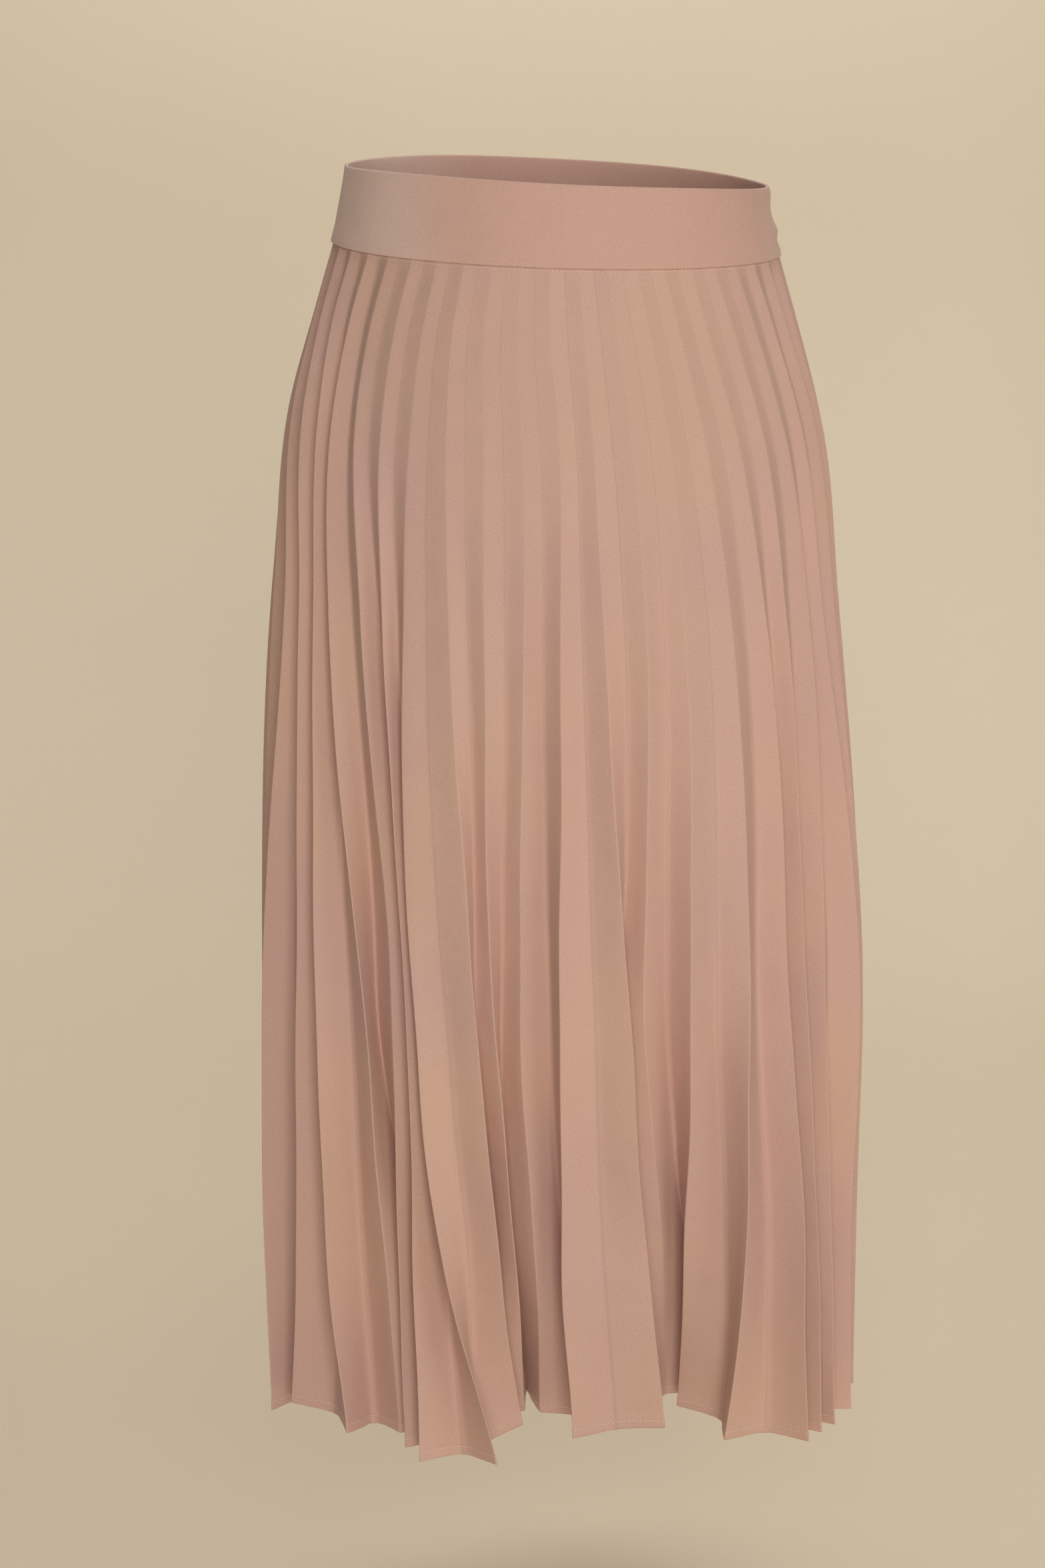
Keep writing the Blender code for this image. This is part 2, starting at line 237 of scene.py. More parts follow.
RINGS = {
    "seam": ring(0.000, 0.1454, 0.1039, 0.000, 2.0),
    "high_hip": ring(0.045, 0.1585, 0.1120, -0.002, 2.0),
    "hip": ring(0.110, 0.1760, 0.1280, -0.006, 2.1),
    "thigh": ring(0.230, 0.1900, 0.1450, -0.014, 2.2),
    "knee": ring(0.480, 0.2050, 0.1560, -0.024, 2.2),
    "calf": ring(0.640, 0.2070, 0.1600, -0.030, 2.2),
    "hem": ring(0.765, 0.2080, 0.1620, -0.034, 2.2),
}
LEVELS = tuple(RINGS)
EVEN_LEVELS = {
    "seam": {"shift": -0.005, "spread": 0.0},
    "high_hip": {"shift": -0.004, "spread": 0.08},
}
FOLD_COLUMNS = ("pleat", "hip", "thigh", "knee_x", "knee_y", "calf_x", "calf_y", "hem_x", "hem_y")
FRONT_FOLDS = (
    (-10, -212, -206, -196, -105, -198, -125, -194, -149),
    (-9, -190, -186, -171, -130, -174, -147, -178, -162),
    (-8, -170, -170, -157, -148, -152, -173, -139, -200),
    (-7, -156, -156, -125, -164, -113, -180, -104, -199),
    (-6, -135, -129, -106, -163, -104, -188, -99, -212),
    (-5, -115, -113, -97, -177, -93, -198, -90, -227),
    (-4, -94, -99, -91, -184, -72, -210, -38, -235),
    (-3, -70, -68, -51, -190, -37, -202, -22, -193),
    (-2, -46, -46, -40, -184, -26, -195, -21, -174),
    (-1, -22, -21, -23, -179, -14, -188, -9, -173),
    (0, 1, 2, 2, -191, 4, -198, 11, -205),
    (1, 22, 29, 47, -191, 60, -191, 73, -191),
    (2, 46, 56, 57, -179, 70, -164, 77, -146),
    (3, 70, 81, 86, -180, 86, -170, 83, -160),
    (4, 94, 113, 124, -176, 124, -191, 113, -207),
    (5, 117, 140, 152, -160, 164, -184, 167, -208),
    (6, 138, 157, 164, -148, 174, -174, 177, -198),
    (7, 158, 181, 178, -131, 184, -160, 188, -188),
    (8, 178, 200, 204, -106, 200, -138, 200, -170),
    (9, 200, 224, 209, -78, 208, -102, 207, -126),
    (10, 222, 248, 211, -50, 211, -70, 210, -90),
)
HEM_DROPS = {-10: 15, -8: 6, -7: 6, -6: 8, -5: 9, -4: 14, -3: 2, 4: 1, 5: 2, 30: 3, 31: 6, 32: 9, 33: 12}
FOLD_RELIEF = {
    -6: (0.5, 0.4, 0.4, 0.8, 1.0, 1.0, 1.0),
    -5: (0.4, 0.25, 0.25, 0.6, 1.0, 1.0, 1.0),
    -4: (0.3, 0.15, 0.15, 0.25, 0.4, 0.7, 1.0),
    -3: (0.3, 0.2, 0.2, 0.35, 0.7, 1.0, 1.0),
    -2: (0.35, 0.25, 0.25, 0.4, 0.8, 1.0, 1.0),
    -1: (0.35, 0.25, 0.3, 0.65, 0.9, 1.0, 1.0),
    0: (0.35, 0.25, 0.35, 0.65, 0.9, 1.0, 1.0),
    1: (0.4, 0.3, 0.3, 0.5, 0.9, 1.0, 1.0),
    2: (0.5, 0.4, 0.4, 0.5, 0.9, 1.0, 1.0),
    3: (0.5, 0.4, 0.4, 0.5, 0.9, 1.0, 1.0),
    4: (0.5, 0.4, 0.4, 0.6, 0.9, 1.0, 1.0),
    5: (0.5, 0.4, 0.4, 0.6, 0.9, 1.0, 1.0),
    6: (0.5, 0.4, 0.4, 0.7, 1.0, 1.0, 1.0),
    7: (0.6, 0.5, 0.5, 0.8, 1.0, 1.0, 1.0),
    8: (0.8, 0.7, 0.7, 1.0, 1.0, 1.0, 1.0),
}
BACK_FLUTES = 3.0
BACK_UNEVEN_WAVES = 5.0
FLUTE_DEPTH = {"hip": 0.0, "thigh": 0.002, "knee": 0.008, "calf": 0.012, "hem": 0.016}
BACK_SHIFT = {"hip": 0.04, "thigh": 0.08, "knee": 0.14, "calf": 0.17, "hem": 0.18}
print("pleats", PLEAT_COUNT, "length", CLOTH_LENGTH)

# %% [markdown]
# The ridges lie on rings, which are ellipses with slightly square shoulders. These helpers walk
# along a ring by true length, because pleats are spaced by the cloth between them.

# %% Walking round a ring
RING_STEPS = 1440


def ring_point(ring_sizes, angle):
    """Point of a ring in plan, with the angle counted from the centre front towards +X."""
    power = 2.0 / ring_sizes["squareness"]
    across = math.copysign(abs(math.sin(angle)) ** power, math.sin(angle))
    forward = math.copysign(abs(math.cos(angle)) ** power, math.cos(angle))
    return (ring_sizes["half_width"] * across, ring_sizes["centre_y"] - ring_sizes["half_depth"] * forward)


def ring_walk(ring_sizes):
    """The ring as a fine outline from the centre back round to the centre back, with its lengths."""
    angles = np.linspace(-math.pi, math.pi, RING_STEPS + 1)
    points = np.array([ring_point(ring_sizes, angle) for angle in angles])
    lengths = np.concatenate([[0.0], np.cumsum(np.linalg.norm(np.diff(points, axis=0), axis=1))])
    return points, lengths - lengths[RING_STEPS // 2]


def along_ring(ring_sizes, distances):
    """Points of a ring at these distances from the centre front, positive towards +X."""
    points, lengths = ring_walk(ring_sizes)
    whole = lengths[-1] - lengths[0]
    wrapped = (np.asarray(distances) - lengths[0]) % whole + lengths[0]
    across = np.interp(wrapped, lengths, points[:, 0])
    forward = np.interp(wrapped, lengths, points[:, 1])
    return np.stack([across, forward], axis=1)


def ring_length(ring_sizes):
    """Length all round a ring."""
    lengths = ring_walk(ring_sizes)[1]
    return lengths[-1] - lengths[0]


def place_on_ring(ring_sizes, point):
    """Distance from the centre front to the ring's nearest point."""
    points, lengths = ring_walk(ring_sizes)
    nearest = np.argmin(np.linalg.norm(points - np.asarray(point), axis=1))
    return lengths[nearest]


print("waist seam", round(ring_length(RINGS["seam"]), 3), "m round")

# %% [markdown]
# At the waist and hips the pleats are even. Lower down the front follows the table, and the back,
# which no picture shows, has even pleats in three broad flutes like those in front.

# %% Ridges at each level


def front_ridges(level):
    """Plan points of the front ridges at a level of the fold table."""
    rows = [dict(zip(FOLD_COLUMNS, row)) for row in FRONT_FOLDS]
    if level in FOLD_COLUMNS:
        return along_ring(RINGS[level], [row[level] * MM for row in rows])
    return np.array([(row[level + "_x"], row[level + "_y"]) for row in rows]) * MM


def back_ridges(level, first_point, last_point):
    """Plan points of the back ridges, even between the two outermost front ridges."""
    ring_sizes = RINGS[level]
    count = PLEAT_COUNT - len(FRONT_FOLDS)
    start = place_on_ring(ring_sizes, first_point)
    end = place_on_ring(ring_sizes, last_point) + ring_length(ring_sizes)
    share = np.arange(1, count + 1) / (count + 1)
    uneven = BACK_SHIFT[level] * np.sin(2 * math.pi * share * BACK_UNEVEN_WAVES) / (count + 1)
    places = along_ring(ring_sizes, start + (end - start) * (share + uneven))
    outward = places - np.array([0.0, ring_sizes["centre_y"]])
    outward /= np.linalg.norm(outward, axis=1)[:, None]
    flute = FLUTE_DEPTH[level] * np.sin(2 * math.pi * BACK_FLUTES * share) * np.sin(math.pi * share)
    return places + outward * flute[:, None]


def ridges_at_level(level):
    """All ridges at a level, from the front pleat on the -X side all the way round."""
    ring_sizes = RINGS[level]
    if level in EVEN_LEVELS:
        pleats = np.arange(FIRST_FRONT_PLEAT, FIRST_FRONT_PLEAT + PLEAT_COUNT)
        turns = pleats / PLEAT_COUNT + EVEN_LEVELS[level]["shift"] / ring_length(ring_sizes)
        turns = turns + EVEN_LEVELS[level]["spread"] * np.sin(4 * math.pi * turns) / (4 * math.pi)
        return along_ring(ring_sizes, turns * ring_length(ring_sizes))
    front = front_ridges(level)
    return np.concatenate([front, back_ridges(level, front[-1], front[0])])


def smooth_through(knots, values, places):
    """Smooth curve through the values at the knots, with the slopes of its neighbours."""
    knots = np.asarray(knots, dtype=float)
    slopes = np.gradient(values, knots, axis=0)
    result = []
    for place in places:
        index = int(np.clip(np.searchsorted(knots, place) - 1, 0, len(knots) - 2))
        width = knots[index + 1] - knots[index]
        t = (place - knots[index]) / width
        result.append(
            (2 * t**3 - 3 * t**2 + 1) * values[index]
            + (t**3 - 2 * t**2 + t) * width * slopes[index]
            + (3 * t**2 - 2 * t**3) * values[index + 1]
            + (t**3 - t**2) * width * slopes[index + 1]
        )
    return np.array(result)


print("ridges", len(ridges_at_level("hem")))

# %% [markdown]
# A valley lies one face width from both of its ridges, on the inside. Real creases also wander a
# little as cloth hangs, so each has a small wave of its own that grows towards the hem. Over the belly
# the cloth is stretched nearly flat, so the relief table keeps only part of a fold's depth there.

# %% Creases
WANDER_AT_HEM = 0.0009
WANDER_WAVES = (0.23, 0.13)
SECOND_WANDER = 0.5
GOLDEN_TURN = 2.39996


def face_width(down):
    """Width of one pleat face, which grows evenly down the cloth and is eased in at the seam."""
    eased = SEAM_EASE * max(0.0, 1 - down / EASE_LENGTH)
    return FACE_AT_SEAM + FACE_GROWTH * down - eased


def crease_wander(downs):
    """Small sideways wave of every ridge, none at the waist."""
    crease = np.arange(PLEAT_COUNT)[None, :]
    down = downs[:, None]
    first = np.sin(2 * math.pi * down / WANDER_WAVES[0] + crease * GOLDEN_TURN)
    second = np.sin(2 * math.pi * down / WANDER_WAVES[1] + crease * GOLDEN_TURN * 2)
    return WANDER_AT_HEM * (down / CLOTH_LENGTH) * (first + SECOND_WANDER * second)


def valleys_between(ridges, width):
    """Valley of each pleat, one face width from both of its ridges and inside them."""
    following = np.roll(ridges, -1, axis=0)
    chord = following - ridges
    span = np.linalg.norm(chord, axis=1)
    inward = np.stack([-chord[:, 1], chord[:, 0]], axis=1) / span[:, None]
    depth = np.sqrt(np.maximum(width**2 - (span / 2) ** 2, (FLATTEST_FOLD * width) ** 2))
    return (ridges + following) / 2 + inward * depth[:, None]


def fold_relief(knots, downs):
    """Share of its depth that each fold keeps where the cloth is drawn flat over the belly."""
    pleats = range(FIRST_FRONT_PLEAT, FIRST_FRONT_PLEAT + PLEAT_COUNT)
    shares = np.array([FOLD_RELIEF.get(pleat, [1.0] * len(LEVELS)) for pleat in pleats]).T
    return np.clip(smooth_through(knots, shares, np.clip(downs, 0.0, CLOTH_LENGTH)), 0.0, 1.0)


def crease_plan(downs):
    """Plan points of every crease, ridge and valley in turn, at each distance down the cloth."""
    knots = [RINGS[level]["down"] for level in LEVELS]
    ridge_levels = np.array([ridges_at_level(level) for level in LEVELS])
    ridges = smooth_through(knots, ridge_levels, downs)
    beside = np.roll(ridges, -1, axis=1) - np.roll(ridges, 1, axis=1)
    beside /= np.linalg.norm(beside, axis=2)[:, :, None]
    ridges = ridges + beside * crease_wander(downs)[:, :, None]
    plan = np.zeros((len(downs), 2 * PLEAT_COUNT, 2))
    relief = fold_relief(knots, downs)
    for row, down in enumerate(downs):
        valleys = valleys_between(ridges[row], face_width(max(down, 0.0)))
        middles = (ridges[row] + np.roll(ridges[row], -1, axis=0)) / 2
        plan[row, 0::2] = ridges[row]
        plan[row, 1::2] = middles + (valleys - middles) * relief[row][:, None]
    return plan


print("face width at the hem", round(face_width(CLOTH_LENGTH), 4))

# %% [markdown]
# The height of a crease comes from its length: where it runs outwards it uses cloth, and drops less.
# The waist slopes a little and dips in front. The hem drops towards the sides, and where the cloth
# hangs on the bias.

# %% Heights of the creases


def waist_height(x, y, slope=WAIST_SLOPE):
    """How far the waist rises or falls at a plan point, from its slope and its dip in front."""
    front = np.maximum(0.0, -np.asarray(y) / WAIST_SEAM["half_depth"])
    return -slope * np.asarray(x) - FRONT_DIP * front


def hem_drops(plan):
    """Drop of every crease at the hem: towards the sides, and where the cloth hangs on the bias."""
    sides = plan[..., 0] / RINGS["hem"]["half_width"]
    pleats = range(FIRST_FRONT_PLEAT, FIRST_FRONT_PLEAT + PLEAT_COUNT)
    ridges = np.array([HEM_DROPS.get(pleat, 0) for pleat in pleats]) * MM
    bias = np.zeros(2 * PLEAT_COUNT)
    bias[0::2] = ridges
    bias[1::2] = (ridges + np.roll(ridges, -1)) / 2
    return SIDE_DROP * np.abs(sides) + LEFT_DROP * np.maximum(-sides, 0.0) + bias


def crease_heights(plan, downs):
    """Height of every crease point: each crease keeps its own length down the cloth."""
    heights = np.zeros(plan.shape[:2])
    seam = -BAND_HEIGHT / 2 - SEAM_GAP
    heights[0] = seam - downs[0] + waist_height(plan[0, :, 0], plan[0, :, 1])
    for row in range(1, len(downs)):
        step = downs[row] - downs[row - 1]
        moved = np.linalg.norm(plan[row] - plan[row - 1], axis=1)
        fall = np.sqrt(np.maximum(step**2 - moved**2, (STEEPEST_LEAN * step) ** 2))
        heights[row] = heights[row - 1] - fall
    share = np.asarray(downs)[:, None] / CLOTH_LENGTH
    return heights - hem_drops(plan) * share**2


print("hem drops", len(HEM_DROPS), "pleats by hand")

# %% [markdown]
# The rows are close together where the cloth is sewn: just under the waist and at the hem, where
# the edge is turned up twice by six millimetres. Between them a row about every six and a half
# millimetres is enough for the folds to look smooth.

# %% Rows of the cloth
HEM_DEPTH = 0.0062
HEM_STITCH = 0.0055
HEM_MIDDLE = 0.0028
HEM_EDGE = 0.0007
HEM_STEP = 0.0008
ROW_SPACING = 0.0066
SEAM_ROWS = (-0.0040, -0.0012, 0.0, 0.0015, 0.0028, 0.0055)


def cloth_rows():
    """Distances down the cloth of the fine rows."""
    top_of_hem = CLOTH_LENGTH - HEM_DEPTH
    count = int(round((top_of_hem - SEAM_ROWS[-1]) / ROW_SPACING))
    middle = np.linspace(SEAM_ROWS[-1], top_of_hem - HEM_STEP, count)
    hem = [CLOTH_LENGTH - up for up in (HEM_DEPTH, HEM_STITCH, HEM_MIDDLE, HEM_EDGE, 0.0)]
    return np.array(list(SEAM_ROWS[:-1]) + list(middle) + hem)


DOWNS = cloth_rows()
PLAN = crease_plan(DOWNS)
HEIGHTS = crease_heights(PLAN, DOWNS)
print("rows", len(DOWNS), "hem from", HEIGHTS[-1].min().round(3), "to", HEIGHTS[-1].max().round(3))

# %% [markdown]
# Each face is divided into columns. A pressed ridge is sharp, with a roundness under a millimetre,
# and a valley is softer and opens further down. The columns next to a crease lie on a curve that
# starts along one face and ends along the other. Between them the face bows a little, as cloth does.

# %% Columns across the pleats
RIDGE_ROUND = 0.0007
VALLEY_ROUND_TOP = 0.0022
VALLEY_ROUND_HEM = 0.0075
VALLEY_OPENING = 1.6
FACE_BOW = 0.022
BOW_WAVE = 0.42
FACE_STOPS = (
    ("start", 0.0),
    ("start", 0.5),
    ("start", 1.0),
    ("middle", 0.33),
    ("middle", 0.67),
    ("end", 1.0),
    ("end", 0.5),
)


def roundness(crease, downs):
    """Radius of the soft stretch on each side of a crease, down its length."""
    if crease % 2 == 0:
        return np.full(len(downs), RIDGE_ROUND)
    share = np.clip(downs / CLOTH_LENGTH, 0, 1)
    return VALLEY_ROUND_TOP + (VALLEY_ROUND_HEM - VALLEY_ROUND_TOP) * share**VALLEY_OPENING


def unit(vectors):
    """Vectors of length one."""
    return vectors / np.linalg.norm(vectors, axis=-1)[..., None]


def face_column(face, kind, place):
    """One column of points down the cloth, and how far across its face each point is."""
    whole = 2 * PLEAT_COUNT
    start = PLAN[:, face % whole]
    end = PLAN[:, (face + 1) % whole]
    along = unit(end - start)
    before = unit(start - PLAN[:, (face - 1) % whole])
    after = unit(PLAN[:, (face + 2) % whole] - end)
    width = np.linalg.norm(end - start, axis=1)
    near_start = roundness(face, DOWNS)
    near_end = roundness(face + 1, DOWNS)
    turn = (1 - place) / 2
    if kind == "start":
        blend = (1 - turn) ** 2 * along - turn**2 * before
        points = start + near_start[:, None] * blend
        share = place * near_start / width
    elif kind == "end":
        blend = -((1 - turn) ** 2) * along + turn**2 * after
        points = end + near_end[:, None] * blend
        share = 1 - place * near_end / width
    else:
        first = near_start / width
        last = 1 - near_end / width
        share = first + (last - first) * place
        outward = np.stack([along[:, 1], -along[:, 0]], axis=1)
        wave = np.sin(face * GOLDEN_TURN + 2 * math.pi * DOWNS / BOW_WAVE)
        bow = FACE_BOW * width * wave * np.clip(DOWNS / CLOTH_LENGTH, 0, 1) * np.sin(math.pi * share)
        points = start + (end - start) * share[:, None] + outward * bow[:, None]
    return points, share


def panel_stops(first, last):
    """Every column of a panel: the later half of a face, whole faces, and the earlier half of one."""
    later = [stop for stop in FACE_STOPS if stop[0] == "end" or stop[0] == "middle" and stop[1] > 0.5]
    earlier = [stop for stop in FACE_STOPS if stop[0] == "start" or stop[0] == "middle" and stop[1] < 0.5]
    stops = [(first - 1, "middle", 0.5)] + [(first - 1, *stop) for stop in later]
    stops += [(face, *stop) for face in range(first, last) for stop in FACE_STOPS]
    return stops + [(last, *stop) for stop in earlier] + [(last, "middle", 0.5)]


print("columns in all", len(FACE_STOPS) * 2 * PLEAT_COUNT)

# %% [markdown]
# The flat cut is part of a ring, and the weave runs straight across it. So the UV map holds each
# point's place on the flat cut, in metres, and the twill then turns by degrees from pleat to pleat,
# as it does on a real sunray skirt. Two attributes go with it for the material: how near a point is
# to a ridge, and which face it is on.

# %% Flat cut
FACE_ANGLE = FACE_GROWTH
CUT_RADIUS = FACE_AT_SEAM / FACE_GROWTH


def flat_cut(stops, shares):
    """Place on the flat cut of every point, in metres."""
    flat = np.zeros((len(DOWNS), len(stops), 2))
    for column, (face, _, _) in enumerate(stops):
        angle = (face + shares[:, column]) * FACE_ANGLE
        flat[:, column, 0] = (CUT_RADIUS + DOWNS) * np.sin(angle)
        flat[:, column, 1] = (CUT_RADIUS + DOWNS) * np.cos(angle)
    return flat


FRONT_LAST = 2 * (LAST_FRONT_PLEAT - FIRST_FRONT_PLEAT)

# %% [markdown]
# Every sheet of cloth starts as Blender's grid primitive, which has its rows and columns ready. Its
# points are moved into place, and Solidify then gives it a wall. These helpers also keep each point's
# flat place and its numbers for the material.

# %% Sheets from grids


def add_grid(name, rows, columns):
    """Grid primitive with this many points each way, and the order of its points."""
    bpy.ops.object.select_all(action="DESELECT")
    bpy.ops.mesh.primitive_grid_add(x_subdivisions=columns - 1, y_subdivisions=rows - 1, size=1.0)
    piece = bpy.context.object
    piece.name = name
    piece.data.name = name
    points = read_points(piece.data)
    column = np.rint((points[:, 0] + 0.5) * (columns - 1)).astype(int)
    row = np.rint((0.5 - points[:, 1]) * (rows - 1)).astype(int)
    return piece, row, column


def write_uv(mesh, places):
    """Gives every corner the flat place of its point."""
    corners = np.zeros(len(mesh.loops), dtype=int)
    mesh.loops.foreach_get("vertex_index", corners)
    layer = mesh.uv_layers[0]
    layer.name = "flat_cut"
    layer.uv.foreach_set("vector", places[corners].ravel())


def write_attribute(mesh, name, values):
    """Keeps a number for every point, for the material."""
    layer = mesh.attributes.new(name, "FLOAT", "POINT")
    layer.data.foreach_set("value", np.asarray(values, dtype=float))


def apply_modifiers(piece):
    """Applies every modifier of a piece."""
    bpy.context.view_layer.objects.active = piece
    piece.select_set(True)
    for modifier in list(piece.modifiers):
        bpy.ops.object.modifier_apply(modifier=modifier.name)


def thicken(piece, most, thin_share, weights):
    """Gives cloth its wall, thinner where the weights are low."""
    group = piece.vertex_groups.new(name="thickness")
    for weight in np.unique(weights):
        group.add(np.nonzero(weights == weight)[0].tolist(), float(weight), "REPLACE")
    wall = piece.modifiers.new("wall", "SOLIDIFY")
    wall.thickness = most
    wall.offset = 0.0
    wall.vertex_group = group.name
    wall.thickness_vertex_group = thin_share
    apply_modifiers(piece)
    piece.vertex_groups.clear()


print("a sheet is one grid, moved into place and thickened")

# %% [markdown]
# A maker presses each panel flat, sews the two together at the sides and turns up the hem. The crepe is
# about half a millimetre thick, and the hem is thicker because it is folded there. Each panel runs from
# the middle of one face to the middle of another, which is where its side seams lie.

# %% Panels
CREPE = 0.0006
HEM_THICKNESS = 0.0013
HEM_EDGE_SHARE = 0.4
HEM_STITCH_SHARE = 0.45


def build_panel(name, first, last):
    """One pleated panel between two side seams."""
    stops = panel_stops(first, last)
    columns = [face_column(*stop) for stop in stops]
    plan = np.stack([points for points, _ in columns], axis=1)
    shares = np.stack([share for _, share in columns], axis=1)
    faces = np.array([face for face, _, _ in stops]) % (2 * PLEAT_COUNT)
    following = (faces + 1) % (2 * PLEAT_COUNT)
    heights = HEIGHTS[:, faces] * (1 - shares) + HEIGHTS[:, following] * shares
    cloth = np.concatenate([plan, heights[:, :, None]], axis=2)
    piece, row, column = add_grid(name, len(DOWNS), len(stops))
    write_points(piece.data, cloth[row, column])
    flat = flat_cut(stops, shares)
    write_uv(piece.data, flat[row, column])
    from_ridge = np.where(faces % 2 == 0, shares, 1 - shares)
    write_attribute(piece.data, "from_ridge", from_ridge[row, column])
    write_attribute(piece.data, "face_tone", ((faces * GOLDEN_TURN) % 1.0)[column])
    in_hem = (DOWNS[row] >= CLOTH_LENGTH - HEM_DEPTH).astype(float)
    in_hem[np.isclose(DOWNS[row], CLOTH_LENGTH)] = HEM_EDGE_SHARE
    in_hem[np.isclose(DOWNS[row], CLOTH_LENGTH - HEM_STITCH)] = HEM_STITCH_SHARE
    thicken(piece, HEM_THICKNESS, CREPE / HEM_THICKNESS, in_hem)
    bpy.ops.object.shade_smooth()
    print(name, len(piece.data.polygons), "faces")
    return piece, cloth


front_panel, front_cloth = build_panel("front_panel", 0, FRONT_LAST)
back_panel, back_cloth = build_panel("back_panel", FRONT_LAST + 1, 2 * PLEAT_COUNT - 1)

# %% [markdown]
# The waistband is one interfaced strip, folded at the top over itself. Seen in section it is an
# upside-down U. The outer layer's lower edge is turned under, and the pleats go up behind it. The
# inner layer runs a little further down, behind the pleats, where the row of stitches under the band
# catches it. The section below starts at the turned edge and ends at the inner layer's lower edge.

# %% Waistband section
BAND_CREPE = 0.0005
BAND_LAYER = 0.0009
SEAM_BULGE = 0.0005
INNER_BULGE = 0.0008
BULGE_REACH = 0.012
BULGE_RISE = 0.7
EDGE_ROUND = 0.0004
TURNED_IN = 0.006
BAND_FLARE = 1.5
BAND_PUFF = 0.0010
BAND_RIPPLE = 0.0005
TOP_SIDE_DROP = 0.0040
BAND_STEPS = 96


def arc(centre, radius, start, end, steps):
    """Points of an arc in section, outwards and up, with angles in degrees."""
    angles = np.radians(np.linspace(start, end, steps))
    across, up = centre
    return [(across + radius * math.cos(angle), up + radius * math.sin(angle)) for angle in angles]


def seam_share(height):
    """Rises from none, a little above the seam, to one where the layers under the band are thickest."""
    share = np.clip((BULGE_REACH - (height + BAND_HEIGHT / 2)) / (BULGE_REACH * BULGE_RISE), 0, 1)
    return share * share * (3 - 2 * share)


def band_section():
    """Outline of the folded strip in section: distance out from the band's middle, and height."""
    low = -BAND_HEIGHT / 2 + BAND_CREPE / 2
    top = BAND_HEIGHT / 2 - BAND_LAYER
    edge_out = BAND_LAYER + SEAM_BULGE
    turned = edge_out - 2 * EDGE_ROUND
    outer = np.linspace(low + EDGE_ROUND, top, 15)
    inner = np.linspace(top, low - TURNED_IN, 16)
    section = [(turned, low + TURNED_IN), (turned, low + 2 * EDGE_ROUND)]
    section += arc((edge_out - EDGE_ROUND, low + EDGE_ROUND), EDGE_ROUND, 180, 360, 7)
    section += [(BAND_LAYER + SEAM_BULGE * seam_share(height), height) for height in outer[1:]]
    section += arc((0, top), BAND_LAYER, 0, 180, 9)[1:]
    section += [(-BAND_LAYER - INNER_BULGE * seam_share(height), height) for height in inner[1:]]
    return np.array(section)


SECTION = band_section()

# %% [markdown]
# The band flares with the hips, most near the seam, and is a little full in the middle. On the +X
# side the closing under it pulls it into small bumps, and its top dips a little at both sides. A grid
# is wrapped round half the waist for each of the two pieces, and their ends meet at the sides.

# %% Waistband pieces
END_GAP = 0.0002
BUMP_REACH = 0.022
BUMPS = (
    {"height": 0.020, "size": 0.0014, "spread": 0.006},
    {"height": 0.006, "size": -0.0014, "spread": 0.008},
    {"height": -0.007, "size": 0.0012, "spread": 0.005},
    {"height": -0.014, "size": -0.0010, "spread": 0.004},
)


def zip_bumps(x, y, height):
    """How far the band is pushed out near its closing on the +X side."""
    near = np.exp(-((np.hypot(x - WAIST_SEAM["half_width"], y) / BUMP_REACH) ** 2))
    push = 0.0
    for bump in BUMPS:
        push = push + bump["size"] * np.exp(-(((height - bump["height"]) / bump["spread"]) ** 2))
    return near * push


def band_half(name, start, end):
    """One half of the waistband between two angles, counted from the centre front towards +X."""
    rows = len(SECTION)
    piece, row, column = add_grid(name, rows, BAND_STEPS + 1)
    out, height = SECTION[row, 0], SECTION[row, 1]
    gap_angle = END_GAP / 2 / WAIST_SEAM["half_depth"]
    angle = start + gap_angle + (end - start - 2 * gap_angle) * column / BAND_STEPS
    share = np.clip(0.5 - height / BAND_HEIGHT, 0, 1)
    flare = share**BAND_FLARE
    puff = BAND_PUFF * np.sin(math.pi * share)
    half_width, half_depth = (
        WAIST_TOP[size] + flare * (WAIST_SEAM[size] - WAIST_TOP[size]) + puff
        for size in ("half_width", "half_depth")
    )
    x, y = half_width * np.sin(angle), -half_depth * np.cos(angle)
    slope = TOP_SLOPE + share * (WAIST_SLOPE - TOP_SLOPE)
    normal = unit(np.stack([np.sin(angle) / half_width, -np.cos(angle) / half_depth], axis=1))
    ripple = BAND_RIPPLE * np.sin(angle * 9 + 1.0) * np.sin(math.pi * share) * np.cos(angle * 4)
    push = out + zip_bumps(x, y, height) + ripple
    height = height - TOP_SIDE_DROP * (1 - share) * np.sin(angle) ** 4
    lift = height + waist_height(x, y, slope)
    points = np.stack([x + normal[:, 0] * push, y + normal[:, 1] * push, lift], axis=1)
    write_points(piece.data, points)
    lengths = np.concatenate([[0], np.cumsum(np.linalg.norm(np.diff(SECTION, axis=0), axis=1))])
    radius = (WAIST_SEAM["half_width"] + WAIST_SEAM["half_depth"]) / 2
    write_uv(piece.data, np.stack([angle * radius, lengths[row]], axis=1))
    thicken(piece, BAND_CREPE, 1.0, np.ones(len(points)))
    bpy.ops.object.shade_smooth()
    print(name, len(piece.data.polygons), "faces")
    return piece


QUARTER = math.pi / 2
front_band = band_half("front_waistband", -QUARTER, QUARTER)
back_band = band_half("back_waistband", QUARTER, 3 * QUARTER)

# %% [markdown]
# A stitch is a short, slightly flattened capsule of thread. One is modelled from a sphere primitive
# and copied along a line that lies on the cloth, each copy with its own points, all in one mesh.

# %% One stitch
THREAD = 0.00045
THREAD_FLATTENED = 0.8
STITCH_LENGTH = 0.0017
STITCH_BLUNT = 0.6


